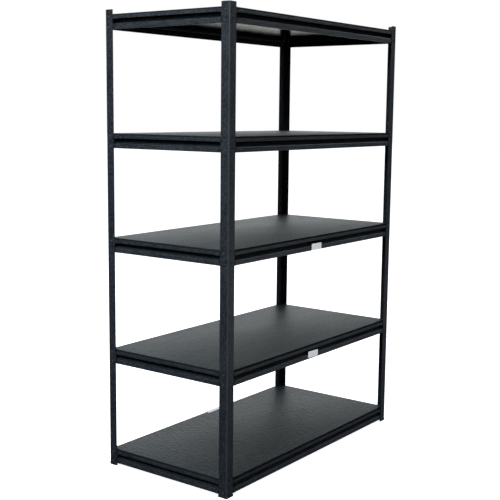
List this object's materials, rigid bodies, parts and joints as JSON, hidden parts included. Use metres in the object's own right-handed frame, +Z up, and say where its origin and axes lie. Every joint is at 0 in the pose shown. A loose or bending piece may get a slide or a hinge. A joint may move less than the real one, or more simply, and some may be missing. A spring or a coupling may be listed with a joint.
{
  "type": "boltless steel shelving",
  "caption": "Free-standing boltless steel shelving unit: L-angle posts, grooved beams hooked in by rivets and loose boards on every level.",
  "frame": {"origin": "on the floor, at the centre of the unit's footprint", "axes": "+X along the long side, +Y to the rear, +Z up"},
  "size_m": [1.2228, 0.6132, 1.8288],
  "materials": {
    "post_paint": "dark blue-black powder coat, fine hammered texture, semi-gloss",
    "beam_paint": "dark blue-black powder coat, fine hammered texture, semi-gloss",
    "foot_plastic": "matt black moulded plastic",
    "board_face": "dark grey laminated board, smooth with a soft sheen",
    "label_paper": "blank white paper label"
  },
  "bodies": {
    "frame": {"post_lower_front_left": "post_paint", "post_lower_front_right": "post_paint", "post_lower_rear_right": "post_paint", "post_lower_rear_left": "post_paint", "post_upper_front_left": "post_paint", "post_upper_front_right": "post_paint", "post_upper_rear_right": "post_paint", "post_upper_rear_left": "post_paint", "foot_front_left": "foot_plastic", "foot_front_right": "foot_plastic", "foot_rear_right": "foot_plastic", "foot_rear_left": "foot_plastic", "beam_1_front": "beam_paint", "beam_1_right": "beam_paint", "beam_1_rear": "beam_paint", "beam_1_left": "beam_paint", "beam_2_front": "beam_paint", "beam_2_right": "beam_paint", "beam_2_rear": "beam_paint", "beam_2_left": "beam_paint", "beam_3_front": "beam_paint", "beam_3_right": "beam_paint", "beam_3_rear": "beam_paint", "beam_3_left": "beam_paint", "beam_4_front": "beam_paint", "beam_4_right": "beam_paint", "beam_4_rear": "beam_paint", "beam_4_left": "beam_paint", "beam_5_front": "beam_paint", "beam_5_right": "beam_paint", "beam_5_rear": "beam_paint", "beam_5_left": "beam_paint", "label_beam_2": "label_paper", "label_beam_3": "label_paper"},
    "deck_1": {"board_1": "board_face", "label_board_1": "label_paper"},
    "deck_2": {"board_2": "board_face"},
    "deck_3": {"board_3": "board_face"},
    "deck_4": {"board_4": "board_face"},
    "deck_5": {"board_5": "board_face"}
  },
  "joints": [
    {"name": "deck_1_lift", "type": "slide", "parent": "frame", "child": "deck_1", "axis": [0, 0, 1], "range_m": [0, 0.05]},
    {"name": "deck_2_lift", "type": "slide", "parent": "frame", "child": "deck_2", "axis": [0, 0, 1], "range_m": [0, 0.05]},
    {"name": "deck_3_lift", "type": "slide", "parent": "frame", "child": "deck_3", "axis": [0, 0, 1], "range_m": [0, 0.05]},
    {"name": "deck_4_lift", "type": "slide", "parent": "frame", "child": "deck_4", "axis": [0, 0, 1], "range_m": [0, 0.05]},
    {"name": "deck_5_lift", "type": "slide", "parent": "frame", "child": "deck_5", "axis": [0, 0, 1], "range_m": [0, 0.05]}
  ]
}
